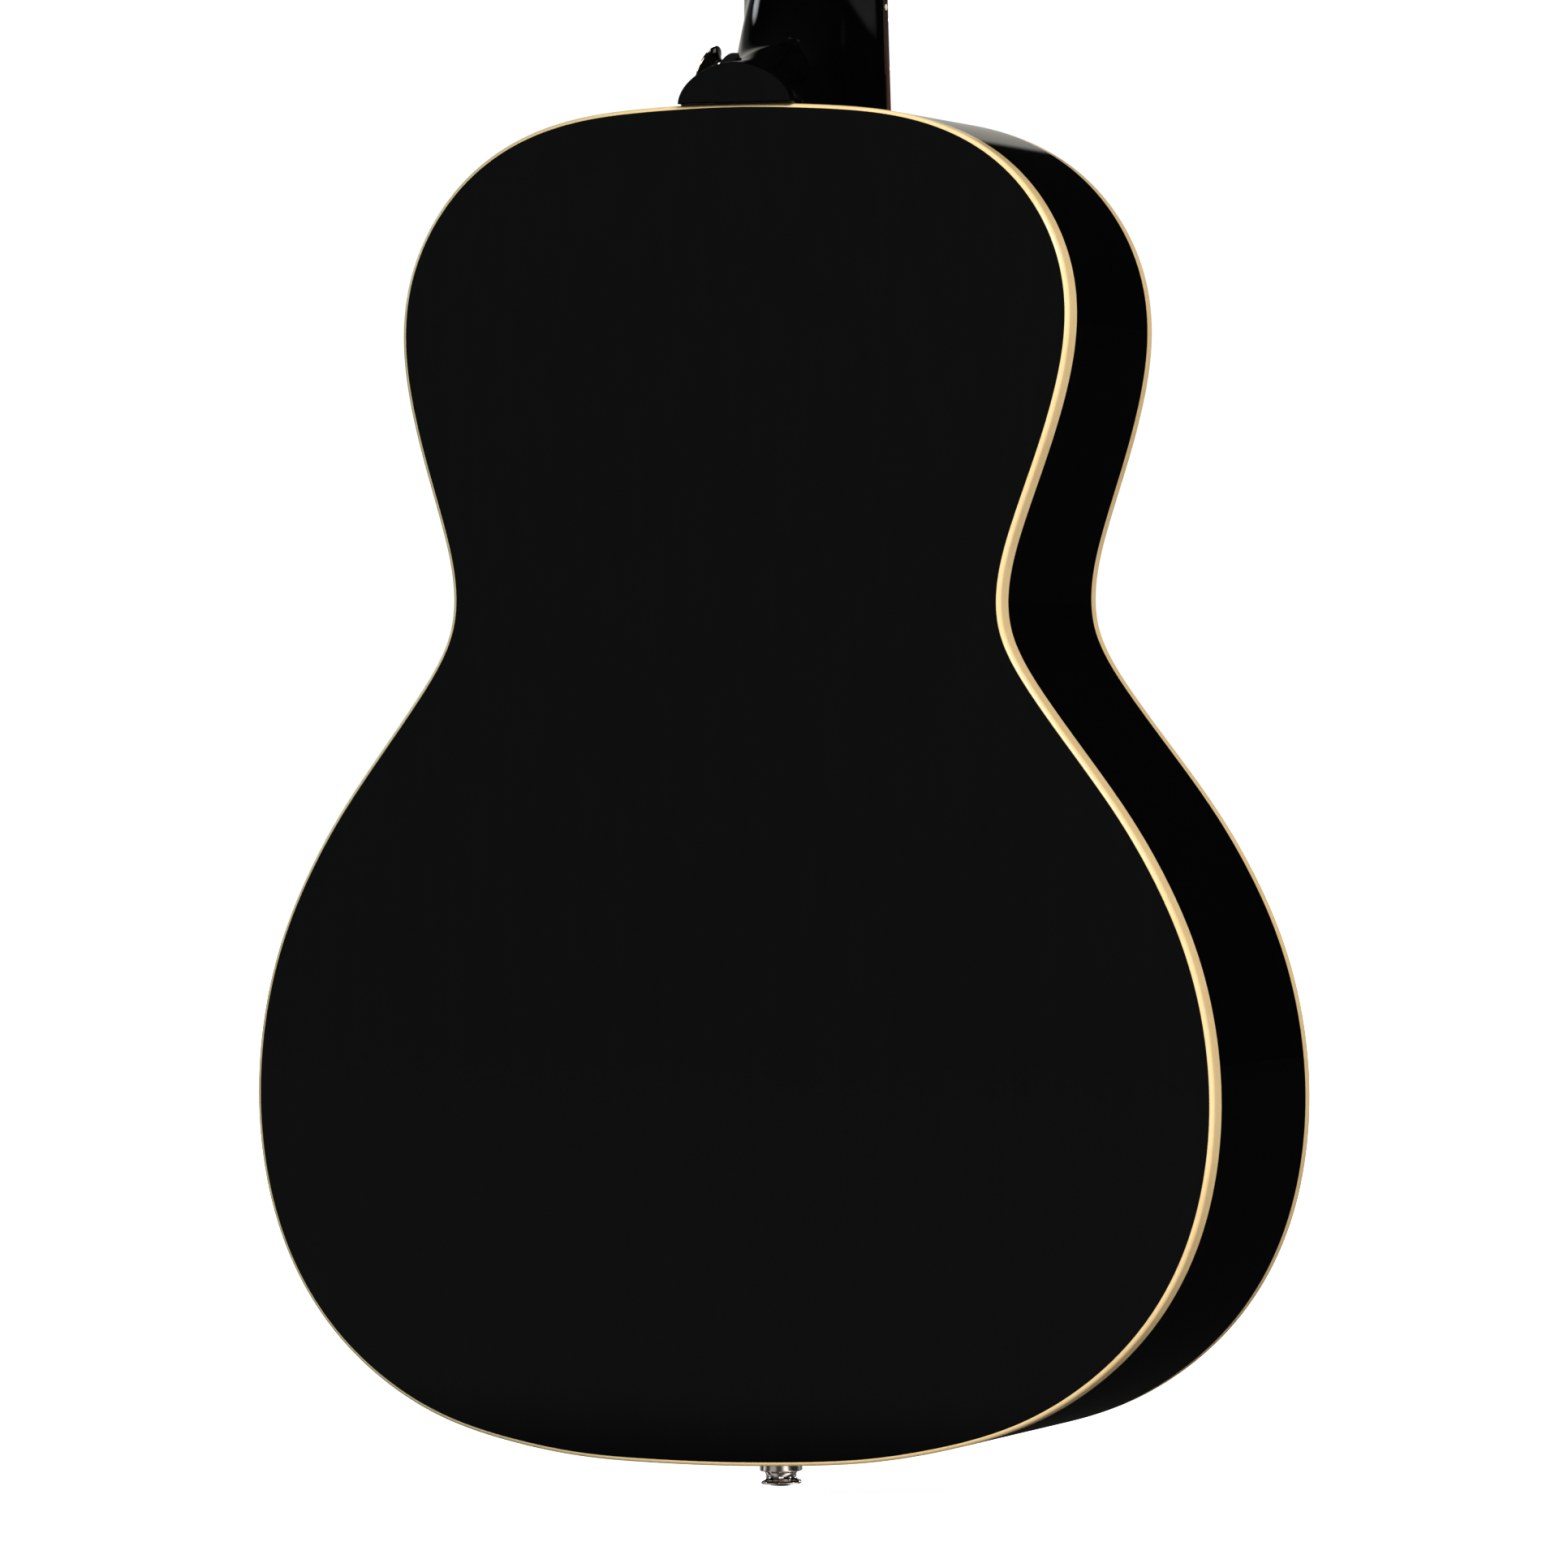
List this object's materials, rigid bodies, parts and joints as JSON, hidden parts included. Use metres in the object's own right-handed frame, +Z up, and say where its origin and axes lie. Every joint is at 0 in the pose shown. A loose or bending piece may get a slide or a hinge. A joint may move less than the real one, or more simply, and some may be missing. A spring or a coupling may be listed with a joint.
{
  "type": "acoustic guitar",
  "caption": "Small-bodied flat-top steel-string acoustic guitar with geared tuners, end-pin jack and heel strap button.",
  "frame": {"origin": "centre of the foot of the bounding box, at the end pin's outer end", "axes": "+Z up along the neck from end pin to headstock; soundboard faces -Y, back faces +Y; +X is the treble side, -X the bass side"},
  "size_m": [0.3746, 0.1206, 1.0192],
  "materials": {
    "black_lacquer": "high-gloss black nitrocellulose lacquer over wood",
    "cream_binding": "aged cream plastic binding, polished, rounded corner",
    "rosette_inlay": "cream and black ring inlay under lacquer",
    "mahogany": "bare mahogany",
    "spruce": "bare sitka spruce",
    "rosewood": "oiled rosewood; the fret crowns are nickel silver",
    "tortoise": "polished tortoise-pattern plastic",
    "bone": "polished bone",
    "pin_plastic": "cream plastic with a dark dot",
    "nickel": "polished nickel plate; the key's button is cream plastic",
    "felt": "black felt",
    "cover_black": "polished black plastic",
    "steel": "drawn steel",
    "bronze_wound": "bronze winding",
    "cable": "black cable jacket"
  },
  "bodies": {
    "guitar": {"soundboard": "black_lacquer", "back_plate": "black_lacquer", "side_bass": "black_lacquer", "side_treble": "black_lacquer", "neck": "black_lacquer", "heel_cap": "black_lacquer", "back_binding": "cream_binding", "top_binding": "cream_binding", "rosette": "rosette_inlay", "top_lining": "mahogany", "back_lining": "mahogany", "neck_block": "mahogany", "tail_block": "mahogany", "x_brace": "spruce", "tone_bar": "spruce", "transverse_brace": "spruce", "back_brace_1": "spruce", "back_brace_2": "spruce", "back_brace_3": "spruce", "back_brace_4": "spruce", "fretboard": "rosewood", "bridge": "rosewood", "bridge_plate": "rosewood", "pickguard": "tortoise", "nut": "bone", "saddle": "bone", "jack_strap_nut": "nickel", "jack_barrel": "nickel", "heel_strap_button": "nickel", "tuner_plate_bass": "nickel", "tuner_plate_treble": "nickel", "strap_button_washer": "felt", "truss_rod_cover": "cover_black", "saddle_pickup": "steel", "string_1": "steel", "string_2": "steel", "string_3": "bronze_wound", "string_4": "bronze_wound", "string_5": "bronze_wound", "string_6": "bronze_wound", "pickup_lead": "cable"},
    "tuner_key_1": {"tuner_key_1": "nickel"},
    "tuner_post_1": {"tuner_post_1": "nickel"},
    "tuner_key_2": {"tuner_key_2": "nickel"},
    "tuner_post_2": {"tuner_post_2": "nickel"},
    "tuner_key_3": {"tuner_key_3": "nickel"},
    "tuner_post_3": {"tuner_post_3": "nickel"},
    "tuner_key_4": {"tuner_key_4": "nickel"},
    "tuner_post_4": {"tuner_post_4": "nickel"},
    "tuner_key_5": {"tuner_key_5": "nickel"},
    "tuner_post_5": {"tuner_post_5": "nickel"},
    "tuner_key_6": {"tuner_key_6": "nickel"},
    "tuner_post_6": {"tuner_post_6": "nickel"},
    "bridge_pin_1": {"bridge_pin_1": "pin_plastic"},
    "bridge_pin_2": {"bridge_pin_2": "pin_plastic"},
    "bridge_pin_3": {"bridge_pin_3": "pin_plastic"},
    "bridge_pin_4": {"bridge_pin_4": "pin_plastic"},
    "bridge_pin_5": {"bridge_pin_5": "pin_plastic"},
    "bridge_pin_6": {"bridge_pin_6": "pin_plastic"},
    "truss_rod": {"truss_rod": "steel"}
  },
  "joints": [
    {"name": "tuner_key_1_turn", "type": "hinge", "parent": "guitar", "child": "tuner_key_1", "pos_m": [0.022, -0.01717, 0.88212], "axis": [1, 0, 0], "continuous": true},
    {"name": "tuner_post_1_turn", "type": "hinge", "parent": "guitar", "child": "tuner_post_1", "pos_m": [0.022, -0.03324, 0.89456], "axis": [0, 0.9563, -0.2924], "continuous": true},
    {"name": "tuner_key_2_turn", "type": "hinge", "parent": "guitar", "child": "tuner_key_2", "pos_m": [0.022, -0.00665, 0.91655], "axis": [1, 0, 0], "continuous": true},
    {"name": "tuner_post_2_turn", "type": "hinge", "parent": "guitar", "child": "tuner_post_2", "pos_m": [0.022, -0.02271, 0.92899], "axis": [0, 0.9563, -0.2924], "continuous": true},
    {"name": "tuner_key_3_turn", "type": "hinge", "parent": "guitar", "child": "tuner_key_3", "pos_m": [0.022, 0.00388, 0.95098], "axis": [1, 0, 0], "continuous": true},
    {"name": "tuner_post_3_turn", "type": "hinge", "parent": "guitar", "child": "tuner_post_3", "pos_m": [0.022, -0.01219, 0.96342], "axis": [0, 0.9563, -0.2924], "continuous": true},
    {"name": "tuner_key_4_turn", "type": "hinge", "parent": "guitar", "child": "tuner_key_4", "pos_m": [-0.022, 0.00388, 0.95098], "axis": [1, 0, 0], "continuous": true},
    {"name": "tuner_post_4_turn", "type": "hinge", "parent": "guitar", "child": "tuner_post_4", "pos_m": [-0.022, -0.01219, 0.96342], "axis": [0, 0.9563, -0.2924], "continuous": true},
    {"name": "tuner_key_5_turn", "type": "hinge", "parent": "guitar", "child": "tuner_key_5", "pos_m": [-0.022, -0.00665, 0.91655], "axis": [1, 0, 0], "continuous": true},
    {"name": "tuner_post_5_turn", "type": "hinge", "parent": "guitar", "child": "tuner_post_5", "pos_m": [-0.022, -0.02271, 0.92899], "axis": [0, 0.9563, -0.2924], "continuous": true},
    {"name": "tuner_key_6_turn", "type": "hinge", "parent": "guitar", "child": "tuner_key_6", "pos_m": [-0.022, -0.01717, 0.88212], "axis": [1, 0, 0], "continuous": true},
    {"name": "tuner_post_6_turn", "type": "hinge", "parent": "guitar", "child": "tuner_post_6", "pos_m": [-0.022, -0.03324, 0.89456], "axis": [0, 0.9563, -0.2924], "continuous": true},
    {"name": "bridge_pin_1_lift", "type": "slide", "parent": "guitar", "child": "bridge_pin_1", "axis": [0, -1, 0], "range_m": [0, 0.026]},
    {"name": "bridge_pin_2_lift", "type": "slide", "parent": "guitar", "child": "bridge_pin_2", "axis": [0, -1, 0], "range_m": [0, 0.026]},
    {"name": "bridge_pin_3_lift", "type": "slide", "parent": "guitar", "child": "bridge_pin_3", "axis": [0, -1, 0], "range_m": [0, 0.026]},
    {"name": "bridge_pin_4_lift", "type": "slide", "parent": "guitar", "child": "bridge_pin_4", "axis": [0, -1, 0], "range_m": [0, 0.026]},
    {"name": "bridge_pin_5_lift", "type": "slide", "parent": "guitar", "child": "bridge_pin_5", "axis": [0, -1, 0], "range_m": [0, 0.026]},
    {"name": "bridge_pin_6_lift", "type": "slide", "parent": "guitar", "child": "bridge_pin_6", "axis": [0, -1, 0], "range_m": [0, 0.026]},
    {"name": "truss_rod_adjust", "type": "hinge", "parent": "guitar", "child": "truss_rod", "pos_m": [0, -0.04269, 0.672], "axis": [0, 0, 1], "range_deg": [-360, 360]}
  ],
  "couplings": [
    {"joint": "tuner_post_1_turn", "follows": "tuner_key_1_turn", "ratio": 0.071429},
    {"joint": "tuner_post_2_turn", "follows": "tuner_key_2_turn", "ratio": 0.071429},
    {"joint": "tuner_post_3_turn", "follows": "tuner_key_3_turn", "ratio": 0.071429},
    {"joint": "tuner_post_4_turn", "follows": "tuner_key_4_turn", "ratio": 0.071429},
    {"joint": "tuner_post_5_turn", "follows": "tuner_key_5_turn", "ratio": 0.071429},
    {"joint": "tuner_post_6_turn", "follows": "tuner_key_6_turn", "ratio": 0.071429}
  ]
}
